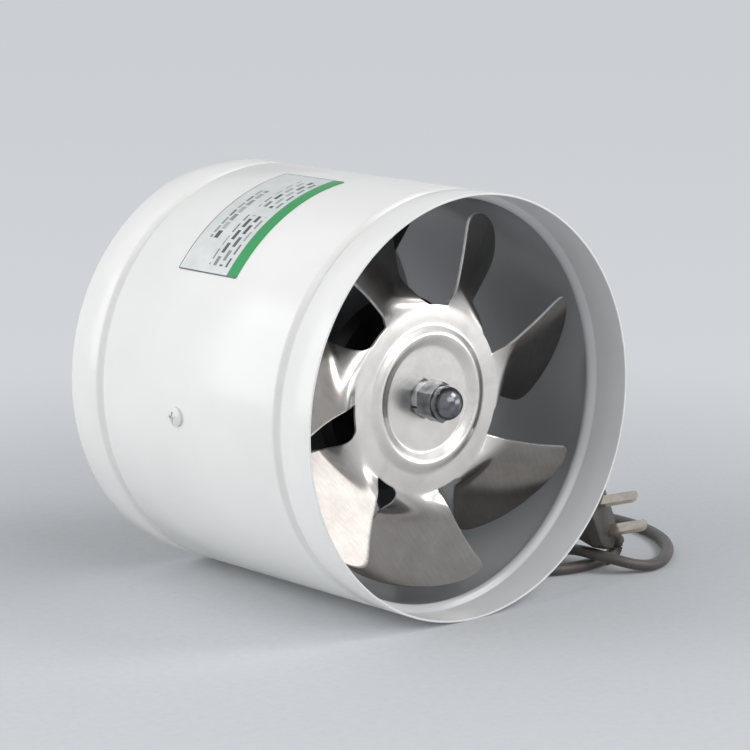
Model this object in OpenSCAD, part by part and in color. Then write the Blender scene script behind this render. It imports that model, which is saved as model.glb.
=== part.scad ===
// Inline duct fan with a rolled steel casing, a stamped seven-blade impeller,
// a motor carried on a three-arm bracket, and a mains cord with a flat-pin plug.
// Millimetres, +Z up, lying on z = 0 with the fan axis along Y and the impeller at -Y.

/* [Casing] */
// Outer diameter of the casing, which is the nominal duct size
duct_d = 150; // [146:1:156]
// Length of the casing along the fan axis
casing_l = 133; // [130:1:140]
// Thickness of the rolled sheet
sheet_t = 0.8; // [0.6:0.1:1.2]
// Distance from each rim to the middle of its pressed bead
bead_inset = 17; // [15:0.5:18]
// Width of each bead at the outer surface
bead_w = 7; // [6:0.5:8]
// Depth of each bead, pressed inwards
bead_depth = 2.4; // [1.5:0.1:2.8]

/* [Impeller] */
// Number of blades
blade_count = 7; // [5:1:8]
// Radius at the blade tips
tip_r = 68; // [64:0.5:69]
// Radius of the hub, where the blade roots begin
hub_r = 33.5; // [32.5:0.5:34.5]
// Pitch of the blades outside their twisted necks, in degrees
blade_pitch = 31; // [25:1:34]
// Thickness of the stamped sheet in the blades
blade_t = 0.8; // [0.6:0.1:0.8]

/* [Motor] */
// Outer radius of the motor can
motor_r = 35; // [34.6:0.2:35.2]
// Radius of the motor shaft
shaft_r = 4; // [3.5:0.1:4]
// Radial play of the shaft in its bushes
bush_play = 0.03; // [0.02:0.01:0.05]
// Radius of the rotor
rotor_r = 16; // [15:0.5:16]

/* [Bracket] */
// Width of each bracket arm near the motor
arm_w = 14; // [10:1:16]
// Width of each bracket foot at the casing
foot_w = 19; // [17:1:21]
// Thickness of the bracket sheet
arm_t = 1.5; // [1.2:0.1:1.5]
// Distance of the casing screws behind the middle of the casing
screw_back = 5; // [4:0.5:6]

/* [Fasteners] */
// Diameter of the pan heads on the casing screws
head_d = 7; // [6:0.5:8]
// Height of the pan heads
head_h = 2.1; // [1.6:0.1:2.2]
// Width across the flats of the cap nut
nut_af = 13; // [12:0.5:14]

/* [Label] */
// Length of the rating label round the casing, in degrees
label_arc = 45; // [30:1:50]
// Width of the rating label along the casing
label_w = 32; // [24:1:36]

/* [Cord] */
// Diameter of the mains cord
cord_d = 4.4; // [4:0.1:4.6]
// Length of the plug's flat pins
pin_l = 15; // [14:0.5:17]

/* [Hidden] */
$fn = 64;

casing_r = duct_d / 2;
casing_in = casing_r - sheet_t;
half_l = casing_l / 2;
bead_z = half_l - bead_inset;
bead_r = (bead_w * bead_w / 4 + bead_depth * bead_depth) / (2 * bead_depth);
bead_off = bead_r - bead_depth;
arm_angles = [60, 180, 300];
bolt_angles = [0, 120, 240];
mount_turn = 2.5;
screw_z = -screw_back;
screw_r = 1.95;
can_wall = 1.2;
can_in = motor_r - can_wall;
can_front = 27;
can_back = -9.5;
cover_front = can_back - arm_t;
cover_back = -30;
bolt_pcr = motor_r + 4.2;
ear_r = 4.6;
ear_inset = 0.1;
ear_t = can_wall - 2 * ear_inset;
bush_bore = shaft_r + bush_play;
bush_ball = 7.5;
bush_half = 4.8;
front_bush_z = 20.5;
rear_bush_z = -23.5;
core_half = 13;
disc_z = 42;
hub_t = 1;
blade_turn = 360 / blade_count;
first_blade = 55;
lead_angle = -40;
lead_z = -22;
cord_r = cord_d / 2;
grommet_l = 20;
grommet_out = casing_r + grommet_l;
coil_c = [95, 70];
coil_in = 20;
coil_step = 5.6;
coil_turns = 3.5;
coil_z = 3.2;
coil_rise = 5.2;
plug_c = [84.6, -46.2, 20];
plug_yaw = 30.5;
plug_tilt = -13.5;
plug_roll = -19.5;
plug_depth = 11;
pin_gap = 12.7;
pin_w = 6.3;
pin_t = 1.4;
relief_r = 3.1;
stator_gap = 0.4;
stator_fit = 0.05;
yoke_in = can_in - 4.3;
pole_out = rotor_r + 4;
neck_w = 10;
coil_w = 12;
bobbin_w = coil_w - 0.4;
bobbin_end = sqrt(yoke_in * yoke_in - bobbin_w * bobbin_w) - 0.2;
flange_t = 0.5;
coil_over = 6.4;
ring_t = 2.5;
ring_in = shaft_r + 6.5;
washer_r = shaft_r + 2.6;
collar_r = shaft_r + 5;
collar_back = disc_z - 12;
set_screw_z = disc_z - 8;
set_screw_r = 2;
rear_washer_r = shaft_r + 7;
rear_washer_t = 1.8;
lock_r = shaft_r + 2.3;
lock_t = 1.6;
dish_r = hub_r - 14.5;
ridge_r = hub_r - 10.5;
ridge_out = hub_r - 6.7;
ridge_h = 1.6;
flange_h = 0.35;
neck_l = 9.5;

// Turns the fan axis from Z to -Y, so that local +Z points out of the front mouth
module on_axis() {
    translate([0, 0, casing_r]) rotate([90, 0, 0]) children();
}

// The same, turned to the angle at which the bracket and the motor housing are mounted
module on_mount() {
    on_axis() rotate([0, 0, mount_turn]) children();
}

// Stands a child on the fan axis so that its own Z runs outwards at angle a
module radial(a, z) {
    rotate([0, 0, a]) translate([0, 0, z]) rotate([0, 90, 0]) children();
}

// Tube between two radii
module pipe(ro, ri, z0, z1) {
    translate([0, 0, z0]) difference() {
        cylinder(r = ro, h = z1 - z0);
        translate([0, 0, -1]) cylinder(r = ri, h = z1 - z0 + 2);
    }
}

// Pan head with a cross recess, its underside at z = 0
module pan_head(d, h) {
    difference() {
        intersection() {
            cylinder(d = d, h = h);
            translate([0, 0, h - d * 0.85]) sphere(r = d * 0.85);
        }
        for (a = [0, 90]) rotate([0, 0, a])
            translate([-d * 0.27, -d * 0.065, h - 1.1]) cube([d * 0.54, d * 0.13, 2]);
    }
}

// Hexagon nut with a bore, its lower face at z = 0
module hex_nut(af, h, bore) {
    difference() {
        cylinder(d = af / cos(30), h = h, $fn = 6);
        translate([0, 0, -1]) cylinder(r = bore, h = h + 2);
    }
}

// Rolled casing with its two beads, screw holes and cord hole
module duct_casing() {
    color("#f0f0ee") on_axis() difference() {
        rotate_extrude() difference() {
            union() {
                translate([casing_in, -half_l]) square([sheet_t, casing_l]);
                for (s = [-1, 1]) intersection() {
                    translate([casing_r + bead_off, s * bead_z]) circle(r = bead_r + sheet_t);
                    translate([casing_r - 20, s * bead_z - 15]) square([20, 30]);
                }
            }
            for (s = [-1, 1]) translate([casing_r + bead_off, s * bead_z]) circle(r = bead_r);
        }
        for (a = arm_angles) radial(a + mount_turn, screw_z)
            translate([0, 0, casing_in - 5]) cylinder(r = screw_r + 0.2, h = 10);
        radial(lead_angle, lead_z) translate([0, 0, casing_in - 8]) cylinder(r = 4.5, h = 16);
    }
}

// Pressed bracket: a ring between the motor halves, three arms and three bent tabs
module motor_bracket() {
    color("#1c1c1e") on_mount() difference() {
        union() {
            pipe(motor_r + 2.5, can_in, cover_front, can_back);
            for (a = bolt_angles) rotate([0, 0, a])
                translate([bolt_pcr, 0, cover_front]) cylinder(r = ear_r, h = arm_t);
            for (a = arm_angles) rotate([0, 0, a]) translate([0, 0, cover_front]) linear_extrude(arm_t)
                polygon([
                    [motor_r + 0.5, -arm_w / 2], [52, -arm_w / 2], [66, -foot_w / 2],
                    [casing_in - 1, -foot_w / 2], [casing_in - 1, foot_w / 2], [66, foot_w / 2],
                    [52, arm_w / 2], [motor_r + 0.5, arm_w / 2]
                ]);
            for (a = arm_angles) intersection() {
                pipe(casing_in - 0.04, casing_in - 1.54, cover_front, screw_z + 20);
                union() {
                    rotate([0, 0, a]) translate([casing_r - 20, -foot_w / 2, cover_front])
                        cube([20, foot_w, screw_z - cover_front]);
                    radial(a, screw_z) translate([0, 0, casing_r - 20]) cylinder(d = foot_w, h = 20);
                }
            }
        }
        translate([0, 0, cover_front - 1]) cylinder(r = can_in, h = arm_t + 2);
        for (a = bolt_angles) rotate([0, 0, a])
            translate([bolt_pcr, 0, cover_front - 1]) cylinder(r = 2.15, h = arm_t + 2);
        for (a = arm_angles) radial(a, screw_z)
            translate([0, 0, casing_in - 8]) cylinder(r = screw_r + 0.2, h = 12);
    }
}

// Pan-head screws that hold the bracket to the casing
module bracket_screws() {
    color("#e9e9e6") on_mount() for (a = arm_angles) radial(a, screw_z) {
        translate([0, 0, casing_r]) pan_head(head_d, head_h);
        translate([0, 0, casing_in - 7.5]) cylinder(r = screw_r, h = sheet_t + 7.6);
    }
}

// Hexagon nuts inside the bracket tabs
module bracket_nuts() {
    color("#b9bcbf") on_mount() for (a = arm_angles) radial(a, screw_z)
        translate([0, 0, casing_in - 4.8]) hex_nut(7, 3.1, screw_r + 0.04);
}

// Thin label bent round the casing
module rating_label() {
    color("#d9dcdd") on_axis() rotate([0, 0, 120.5 - label_arc / 2]) rotate_extrude(angle = label_arc)
        translate([casing_r + 0.03, -6 - label_w / 2]) square([0.25, label_w]);
}

// Ears through which the motor bolts pass, a little thinner than the rim they grow from
module motor_ears(z) {
    for (a = bolt_angles) rotate([0, 0, a]) translate([0, 0, z + ear_inset]) linear_extrude(ear_t)
        difference() {
            union() {
                translate([bolt_pcr, 0]) circle(r = ear_r);
                translate([motor_r - 0.5, -ear_r]) square([bolt_pcr - motor_r + 0.5, 2 * ear_r]);
            }
            translate([bolt_pcr, 0]) circle(r = 2.15);
        }
}

// Drawn front can of the motor with its bush housing
module motor_can() {
    color("#151516") on_mount() union() {
        rotate_extrude() polygon([
            [5, can_front], [motor_r - 3, can_front], [motor_r, can_front - 3], [motor_r, can_back],
            [can_in, can_back], [can_in, can_front - 3.5], [can_in - 2.3, can_front - can_wall],
            [9, can_front - can_wall], [9, front_bush_z - 3], [bush_ball + 0.05, front_bush_z - 3],
            [bush_ball + 0.05, can_front - can_wall], [5, can_front - can_wall]
        ]);
        motor_ears(can_back);
    }
}

// Rear cover of the motor with vent slots, bush housing and lead hole
module motor_rear_cover() {
    color("#151516") on_mount() difference() {
        union() {
            rotate_extrude() polygon([
                [0, cover_back], [motor_r - 3, cover_back], [motor_r, cover_back + 3],
                [motor_r, cover_front], [can_in, cover_front], [can_in, cover_back + 3.5],
                [can_in - 2.3, cover_back + can_wall], [9, cover_back + can_wall],
                [9, rear_bush_z + 3], [bush_ball + 0.05, rear_bush_z + 3],
                [bush_ball + 0.05, cover_back + can_wall], [0, cover_back + can_wall]
            ]);
            motor_ears(cover_front - can_wall);
        }
        for (k = [0:5]) rotate([0, 0, 30 + 60 * k])
            translate([14, -2, cover_back - 1]) cube([12, 4, can_wall + 2]);
        radial(lead_angle - mount_turn, lead_z) translate([0, 0, motor_r - 6]) cylinder(r = 3.6, h = 12);
    }
}

// Short bolts through the ears of can, bracket and cover
module motor_bolts() {
    color("#b9bcbf") on_mount() for (a = bolt_angles) rotate([0, 0, a]) translate([bolt_pcr, 0, 0]) {
        translate([0, 0, can_back + can_wall - ear_inset]) pan_head(6.6, 2.2);
        translate([0, 0, cover_front - can_wall - 4.4]) cylinder(r = 2, h = arm_t + 2 * can_wall + 4.5);
    }
}

// Nuts behind the rear ears
module motor_nuts() {
    color("#b9bcbf") on_mount() for (a = bolt_angles) rotate([0, 0, a])
        translate([bolt_pcr, 0, cover_front - can_wall + ear_inset - 3.2]) hex_nut(7, 3.2, 2.04);
}

// Laminated two-pole stator
module stator_core() {
    color("#6e7073") on_axis() difference() {
        union() {
            pipe(can_in - stator_fit, yoke_in, -core_half, core_half);
            for (s = [0, 180]) rotate([0, 0, s]) translate([-neck_w / 2, pole_out - 2, -core_half])
                cube([neck_w, yoke_in + 1 - pole_out + 2, 2 * core_half]);
            difference() {
                pipe(pole_out, rotor_r + stator_gap, -core_half, core_half);
                translate([-pole_out - 5, -neck_w / 2, -core_half - 1])
                    cube([2 * pole_out + 10, neck_w, 2 * core_half + 2]);
            }
        }
        translate([0, 0, -core_half - 1]) cylinder(r = rotor_r + stator_gap, h = 2 * core_half + 2);
    }
}

// Rectangular ring round a stator neck, from y0 to y1
module neck_ring(xo, zo, xi, zi, y0, y1) {
    translate([0, (y0 + y1) / 2, 0]) difference() {
        cube([2 * xo, y1 - y0, 2 * zo], center = true);
        cube([2 * xi, y1 - y0 + 2, 2 * zi], center = true);
    }
}

// Moulded bobbins on the stator necks
module coil_bobbins() {
    color("#e3ddc8") on_axis() for (s = [0, 180]) rotate([0, 0, s]) {
        x0 = neck_w / 2 + stator_fit;
        z0 = core_half + stator_fit;
        y0 = pole_out + 2 * stator_fit;
        neck_ring(x0 + flange_t - stator_fit, z0 + flange_t - stator_fit, x0, z0, y0, bobbin_end);
        neck_ring(bobbin_w, core_half + coil_over - 0.2, x0, z0, y0, y0 + flange_t);
        neck_ring(bobbin_w, core_half + coil_over - 0.2, x0, z0, bobbin_end - flange_t, bobbin_end);
    }
}

// Copper coils wound on the bobbins
module stator_coils() {
    color("#a8632d") on_axis() for (s = [0, 180]) rotate([0, 0, s])
        neck_ring(coil_w, core_half + coil_over, neck_w / 2 + flange_t + stator_fit,
            core_half + flange_t + stator_fit, pole_out + flange_t + 4 * stator_fit,
            bobbin_end - flange_t - 2 * stator_fit);
}

// Self-aligning sintered bush
module ball_bush(z) {
    translate([0, 0, z]) rotate_extrude() intersection() {
        circle(r = bush_ball);
        translate([bush_bore, -bush_half]) square([10, 2 * bush_half]);
    }
}

module front_bush() {
    color("#9a7b45") on_axis() ball_bush(front_bush_z);
}

module rear_bush() {
    color("#9a7b45") on_axis() ball_bush(rear_bush_z);
}

// Spring clips that keep the bushes in their housings
module bush_clips() {
    color("#8f9396") on_axis() {
        rotate_extrude() polygon([
            [6.9, front_bush_z - 3.6], [10, front_bush_z - 3.6], [10, front_bush_z - 0.5],
            [9.05, front_bush_z - 0.5], [9.05, front_bush_z - 3.1], [6.9, front_bush_z - 3.1]
        ]);
        rotate_extrude() polygon([
            [6.9, rear_bush_z + 3.6], [10, rear_bush_z + 3.6], [10, rear_bush_z + 0.5],
            [9.05, rear_bush_z + 0.5], [9.05, rear_bush_z + 3.1], [6.9, rear_bush_z + 3.1]
        ]);
    }
}

// Rubber gland where the lead leaves the motor
module lead_gland() {
    color("#232325") on_axis() difference() {
        union() {
            difference() {
                radial(lead_angle, lead_z) translate([0, 0, motor_r - 3]) cylinder(r = 5.5, h = 5.5);
                translate([0, 0, -60]) cylinder(r = motor_r + 0.02, h = 100);
            }
            radial(lead_angle, lead_z) translate([0, 0, motor_r - 2.5]) cylinder(r = 3.5, h = 4);
        }
        radial(lead_angle, lead_z) translate([0, 0, motor_r - 10]) cylinder(r = cord_r + 0.03, h = 20);
    }
}

// Lead from the motor to the casing, inside the fan
module motor_lead() {
    color("#6b6560") on_axis() radial(lead_angle, lead_z)
        translate([0, 0, motor_r - 4.5]) cylinder(r = cord_r, h = grommet_out - motor_r + 4.5);
}

// Rubber grommet in the casing wall, with a tapered sleeve for the cord
module casing_grommet() {
    color("#232325") on_axis() difference() {
        union() {
            difference() {
                radial(lead_angle, lead_z) translate([0, 0, casing_in - 2])
                    cylinder(r = 6, h = sheet_t + 4.5);
                pipe(casing_r + 0.03, casing_in - 0.03, -half_l, half_l);
            }
            radial(lead_angle, lead_z) translate([0, 0, casing_in - 1.5]) cylinder(r = 4.4, h = sheet_t + 3);
            radial(lead_angle, lead_z) translate([0, 0, casing_r + 1])
                cylinder(r1 = 4.4, r2 = cord_r + 0.9, h = grommet_l - 1);
        }
        radial(lead_angle, lead_z) translate([0, 0, casing_in - 10])
            cylinder(r = cord_r + 0.03, h = grommet_l + 20);
    }
}

// Motor shaft
module shaft() {
    color("#c3c6c8") on_axis() translate([0, 0, rear_bush_z - bush_half - 0.2])
        cylinder(r = shaft_r, h = disc_z + 12 - rear_bush_z + bush_half + 0.2);
}

// Rotor laminations
module rotor_core() {
    color("#77797c") on_axis() pipe(rotor_r, shaft_r, -core_half, core_half);
}

// Cast end rings of the rotor cage
module rotor_end_rings() {
    color("#b5b7b9") on_axis() {
        pipe(rotor_r - 0.2, ring_in, core_half, core_half + ring_t);
        pipe(rotor_r - 0.2, ring_in, -core_half - ring_t, -core_half);
    }
}

// Thrust washers between the rotor and the bushes
module thrust_washers() {
    color("#efeae0") on_axis() {
        pipe(washer_r, shaft_r, core_half, front_bush_z - bush_half - 0.3);
        pipe(washer_r, shaft_r, rear_bush_z + bush_half + 0.3, -core_half);
    }
}

// Collar that drives the impeller
module drive_collar() {
    color("#b3b6b8") on_axis() difference() {
        pipe(collar_r, shaft_r, collar_back, disc_z - hub_t - rear_washer_t);
        radial(90, set_screw_z) cylinder(r = set_screw_r + 0.05, h = collar_r + 3);
    }
}

// Set screw of the collar
module collar_set_screw() {
    color("#4a4c4e") on_axis() radial(90, set_screw_z) difference() {
        translate([0, 0, shaft_r + 0.02]) cylinder(r = set_screw_r, h = collar_r - shaft_r - 0.4);
        translate([0, 0, collar_r - 2]) cylinder(d = 1.1 * set_screw_r, h = 3, $fn = 6);
    }
}

// Backing washer behind the hub
module rear_washer() {
    color("#b9bcbf") on_axis()
        pipe(rear_washer_r, shaft_r + 0.1, disc_z - hub_t - rear_washer_t, disc_z - hub_t);
}

// Front surface of the hub flange at radius r, which falls to the disc's level at the blade roots
function flange_z(r) = disc_z + flange_h * (hub_r - r) / (hub_r - ridge_out);

// Share of the full pitch at radius r, from none at the hub to all past the neck
function neck(r) = let (t = min(1, max(0, (r - hub_r) / neck_l))) t * t * (3 - 2 * t);

// Middle surface of a blade at radius r and angle a from the middle of its root
function blade_z(r, a) =
    let (k = neck(r), d = a - 10 * k)
    (r < hub_r ? flange_z(r) : disc_z) - hub_t / 2
    + k * (tan(blade_pitch) * r * d * PI / 180 - 0.0028 * d * d * r / 63);

// Angles of the rear and front edges, against the share of the blade's length
rear_edge = [[0, -18], [0.03, -15], [0.07, -12.5], [0.16, -10.5], [0.28, -10.5], [0.42, -11.8],
    [0.6, -13], [0.77, -13.6], [0.86, -12.6], [0.92, -10], [0.96, -5.5], [0.99, 0], [1, 5]];
front_edge = [[0, 18], [0.13, 19.2], [0.28, 20.6], [0.6, 23.5], [0.77, 25.2], [0.86, 25.8],
    [0.92, 25.2], [0.96, 22.5], [0.99, 18.5], [1, 14]];
blade_stations = [-0.06, -0.006, 0.012, 0.035, 0.07, 0.12, 0.18, 0.24, 0.3, 0.42, 0.54, 0.66, 0.77,
    0.86, 0.92, 0.96, 0.99, 1];
chord_n = 9;

// Point of a blade skin at station u, chord step j and half thickness h
function blade_pt(u, j, h) =
    let (r = hub_r + u * (tip_r - hub_r),
         v = max(0, u),
         s = min(1, 9 / blade_count),
         a0 = lookup(v, rear_edge),
         a1 = lookup(v, front_edge),
         a = s * (a0 + (a1 - a0) * j / (chord_n - 1)))
    [r * cos(a), r * sin(a), blade_z(r, a) + h];

// One stamped blade as a thin closed skin
module blade() {
    n = len(blade_stations);
    m = chord_n;
    pts = concat(
        [for (u = blade_stations) for (j = [0:m - 1]) blade_pt(u, j, blade_t / 2)],
        [for (u = blade_stations) for (j = [0:m - 1]) blade_pt(u, j, -blade_t / 2)]);
    b = n * m;
    top = [for (i = [0:n - 2]) for (j = [0:m - 2]) each let (p = i * m + j)
        [[p, p + 1, p + m + 1], [p, p + m + 1, p + m]]];
    bottom = [for (t = top) [b + t[0], b + t[2], b + t[1]]];
    rear = [for (i = [0:n - 2]) each let (p = i * m)
        [[p, p + m, b + p + m], [p, b + p + m, b + p]]];
    front = [for (i = [0:n - 2]) each let (p = i * m + m - 1)
        [[p, b + p + m, p + m], [p, b + p, b + p + m]]];
    root = [for (j = [0:m - 2]) [[j, b + j, b + j + 1], [j, b + j + 1, j + 1]]];
    tip = [for (j = [0:m - 2]) let (p = (n - 1) * m + j) [[p, b + p + 1, b + p], [p, p + 1, b + p + 1]]];
    polyhedron(points = pts, faces = concat(top, bottom, rear, front,
        [for (q = root) each q], [for (q = tip) each q]));
}

// Stamped impeller: a flat disc, a raised ring and a flange, with the blades at its edge
module impeller() {
    color("#c9cbcc") on_axis() union() {
        front = [
            [shaft_r + 0.1, disc_z], [dish_r, disc_z], [dish_r + 0.5, disc_z + 0.1 * ridge_h],
            [ridge_r - 0.7, disc_z + 0.92 * ridge_h], [ridge_r, disc_z + ridge_h],
            [ridge_r + 0.6, disc_z + 0.95 * ridge_h], [ridge_out - 0.5, flange_z(ridge_out) + 0.1 * ridge_h],
            [ridge_out, flange_z(ridge_out)], [hub_r, disc_z]
        ];
        rotate_extrude() polygon(concat(front, [for (i = [len(front) - 1:-1:0]) front[i] - [0, hub_t]]));
        for (k = [0:blade_count - 1]) rotate([0, 0, first_blade - k * blade_turn]) blade();
    }
}

// Split spring washer under the cap nut
module spring_washer() {
    color("#9da0a3") on_axis() difference() {
        pipe(lock_r, shaft_r + 0.2, disc_z, disc_z + lock_t);
        rotate([0, 0, 200]) translate([0, -0.4, disc_z - 1]) cube([10, 0.8, 4]);
    }
}

// Domed cap nut
module cap_nut() {
    base = disc_z + lock_t;
    color("#c9ccce") on_axis() difference() {
        union() {
            intersection() {
                translate([0, 0, base]) rotate([0, 0, 30]) cylinder(d = nut_af / cos(30), h = 6.5, $fn = 6);
                translate([0, 0, base - 0.01]) cylinder(r1 = nut_af * 0.86, r2 = nut_af * 0.53, h = 6.6);
            }
            translate([0, 0, base + 1]) cylinder(r = nut_af * 0.475, h = 6.8);
            translate([0, 0, base + 7.8]) sphere(r = nut_af * 0.475);
        }
        translate([0, 0, base - 1]) cylinder(r = shaft_r, h = 11.6);
    }
}

// Smooth curve through the points of a route, n steps to each span
function at(p, i) = i < 0 ? 2 * p[0] - p[1] : i >= len(p) ? 2 * p[len(p) - 1] - p[len(p) - 2] : p[i];
function spline(p, i, t) =
    let (a = at(p, i - 1), b = at(p, i), c = at(p, i + 1), d = at(p, i + 2))
    0.5 * (2 * b + (c - a) * t + (2 * a - 5 * b + 4 * c - d) * t * t + (3 * b - a - 3 * c + d) * t * t * t);
function curve(p, n) = concat(
    [for (i = [0:len(p) - 2]) for (k = [0:n - 1]) spline(p, i, k / n)], [p[len(p) - 1]]);
function unit(v) = v / norm(v);

// Tube of radius r with n sides along a list of points
module tube(p, r, n) {
    m = len(p);
    dirs = [for (i = [0:m - 1]) unit(p[min(m - 1, i + 1)] - p[max(0, i - 1)])];
    pts = [for (i = [0:m - 1]) let (s = unit(cross([0, 0, 1], dirs[i])), q = cross(dirs[i], s))
        for (k = [0:n - 1]) p[i] + r * (cos(360 * (k + 0.5) / n) * s + sin(360 * (k + 0.5) / n) * q)];
    sides = [for (i = [0:m - 2]) for (k = [0:n - 1]) each
        let (a = i * n + k, b = i * n + (k + 1) % n)
        [[a, a + n, b + n], [a, b + n, b]]];
    caps = [for (k = [1:n - 2]) each let (e = (m - 1) * n) [[0, k, k + 1], [e, e + k + 1, e + k]]];
    polyhedron(points = pts, faces = concat(sides, caps));
}

// Point on the lead's own line at distance d from the fan axis
function lead_pt(d) = [d * cos(lead_angle), -lead_z, casing_r + d * sin(lead_angle)];

// Middle line of the coil: two layers that spiral in, climb and spiral out
function climb(t) = let (x = min(1, max(0, (t - coil_turns / 2 + 0.25) / 0.5))) x * x * (3 - 2 * x);
function coil_pt(t) =
    let (r = coil_in + coil_step * abs(t - coil_turns / 2))
    [coil_c[0] + r * cos(360 * t), coil_c[1] + r * sin(360 * t), coil_z + coil_rise * climb(t)];
coil_path = concat(
    [coil_pt(0) - [0, cord_d, 0]],
    [for (k = [0:24 * coil_turns]) coil_pt(k / 24)],
    [coil_pt(coil_turns) - [0, cord_d, 0]]);
coil_gap = min([for (i = [1:len(coil_path) - 2]) for (j = [i + 9:1:len(coil_path) - 2])
    norm(coil_path[i] - coil_path[j])]) - cord_d;
echo(least_gap_between_turns = coil_gap);

// Point of the plug's own frame, pins along -Y, in the fan's frame
function turn_y(p, a) = [p[0] * cos(a) + p[2] * sin(a), p[1], p[2] * cos(a) - p[0] * sin(a)];
function turn_x(p, a) = [p[0], p[1] * cos(a) - p[2] * sin(a), p[1] * sin(a) + p[2] * cos(a)];
function turn_z(p, a) = [p[0] * cos(a) - p[1] * sin(a), p[0] * sin(a) + p[1] * cos(a), p[2]];
function plug_pt(p) = plug_c + turn_z(turn_x(turn_y(p, plug_roll), plug_tilt), plug_yaw);

module plug_pose() {
    translate(plug_c) rotate([0, 0, plug_yaw]) rotate([plug_tilt, 0, 0]) rotate([0, plug_roll, 0]) children();
}

floor_z = cord_r + 0.1;
lead_route = [
    lead_pt(grommet_out), lead_pt(grommet_out + 6), [82.4, 20.2, 6.8], [87, 14, 4.7], [88.2, 4, 3.3],
    [86, -7, 2.8], [82.4, -17, 3.2], [79.4, -27.5, 4.8], [78.2, -38, 6.9], [79, -47, 6.9], [83, -54, 5.4],
    [89, -58.5, 3.4], [96, -60, floor_z], [104, -58, floor_z], [112.4, -52.6, floor_z],
    [120.5, -45.3, floor_z], [127.4, -36.7, floor_z], [132.4, -27.5, floor_z], [135.5, -19, floor_z],
    [137.5, -7, floor_z],
    [137.5, 10, floor_z], [136, 25, 2.4], [132.5, 42, 2.6], [127, 56, 3], coil_path[0]
];
relief_route = [
    plug_pt([2, 4, -6]), [88.5, -42.6, 11.6], [91.8, -42.5, 11], [94.6, -42.4, 9.7], [95.9, -42, 6.7],
    [94.6, -42, 3.8], [91.8, -42.6, 2.7], [89.5, -43, 2.6]
];
run_route = [
    coil_path[len(coil_path) - 1], coil_path[len(coil_path) - 1] - [0, 8, 0.5], [62, 43, 5], [57, 28, 2.6],
    [53, 12, floor_z], [50, -4, floor_z], [49.5, -18, floor_z], [52.5, -30, floor_z], [58.5, -38, floor_z],
    [66.5, -42.4, floor_z], [75, -44.2, floor_z], [82, -44, 2.4],
    relief_route[7] + (cord_r + 0.27) * unit([82, -44, 2.4] - relief_route[7])
];

// Cord from the casing to the coil, by way of the loop in front
module cord_lead() {
    color("#6b6560") tube(curve(lead_route, 2), cord_r, 8);
}

// Spare cord, coiled beside the casing
module cord_coil() {
    color("#6b6560") tube(coil_path, cord_r, 6);
}

// Cord from the coil to the plug
module cord_run() {
    color("#6b6560") tube(curve(run_route, 2), cord_r, 8);
}

// Flat tie round the coil
module cord_tie() {
    r0 = coil_in + coil_step * (0.5) - 3.2;
    r1 = coil_in + coil_step * (coil_turns / 2 - 0.25) + 3.2;
    z1 = coil_z + coil_rise + cord_r + 0.4;
    color("#3a3a3c") translate([coil_c[0] - 3, coil_c[1], 0]) difference() {
        translate([0, r0 - 0.8, 0]) cube([6, r1 - r0 + 1.6, z1 + 0.8]);
        translate([-1, r0, 0.8]) cube([8, r1 - r0, z1 - 0.8]);
    }
}

// Outline of the plug's front and back as corners [x, z, radius]
plug_front = [[-8, 5.5, 4], [7.3, 5.5, 4], [7.8, -6.5, 3.5], [-8, -3.5, 4], [0, -10.5, 3]];
plug_back = [[-4, 4, 3], [4, 4, 3], [4, -4, 3], [-4, -2, 3]];

// Moulded plug with a bent strain relief at its lower end
module plug_body() {
    n = len(relief_route) - 1;
    color("#6b6560") union() {
        plug_pose() hull() {
            for (q = plug_front) translate([q[0], -0.7, q[1]])
                rotate([-90, 0, 0]) cylinder(r = q[2], h = 4.2, $fn = 16);
            for (q = plug_back) translate([q[0], plug_depth - 1, q[1]])
                rotate([-90, 0, 0]) cylinder(r = q[2], h = 1, $fn = 16);
        }
        for (i = [0:n - 1]) hull() for (k = [i, i + 1])
            translate(relief_route[k]) sphere(r = relief_r - k * (relief_r - cord_r - 0.25) / n, $fn = 12);
    }
}

// Two flat pins with chamfered ends
module plug_pins() {
    color("#c9c6bd") plug_pose() for (z = [-pin_gap / 2, pin_gap / 2]) difference() {
        translate([-pin_w / 2, -pin_l, z - pin_t / 2]) cube([pin_w, pin_l - 0.75, pin_t]);
        for (s = [-1, 1]) translate([s * pin_w / 2, -pin_l, z])
            rotate([0, 0, 45]) cube([1.8, 1.8, 4], center = true);
    }
}

duct_casing();
motor_bracket();
bracket_screws();
bracket_nuts();
rating_label();
motor_can();
motor_rear_cover();
motor_bolts();
motor_nuts();
stator_core();
coil_bobbins();
stator_coils();
front_bush();
rear_bush();
bush_clips();
lead_gland();
motor_lead();
casing_grommet();
shaft();
rotor_core();
rotor_end_rings();
thrust_washers();
drive_collar();
collar_set_screw();
rear_washer();
impeller();
spring_washer();
cap_nut();
cord_lead();
cord_coil();
cord_run();
cord_tie();
plug_body();
plug_pins();
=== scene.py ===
import math

import bmesh
import bpy
from mathutils import Matrix, Vector


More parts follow.
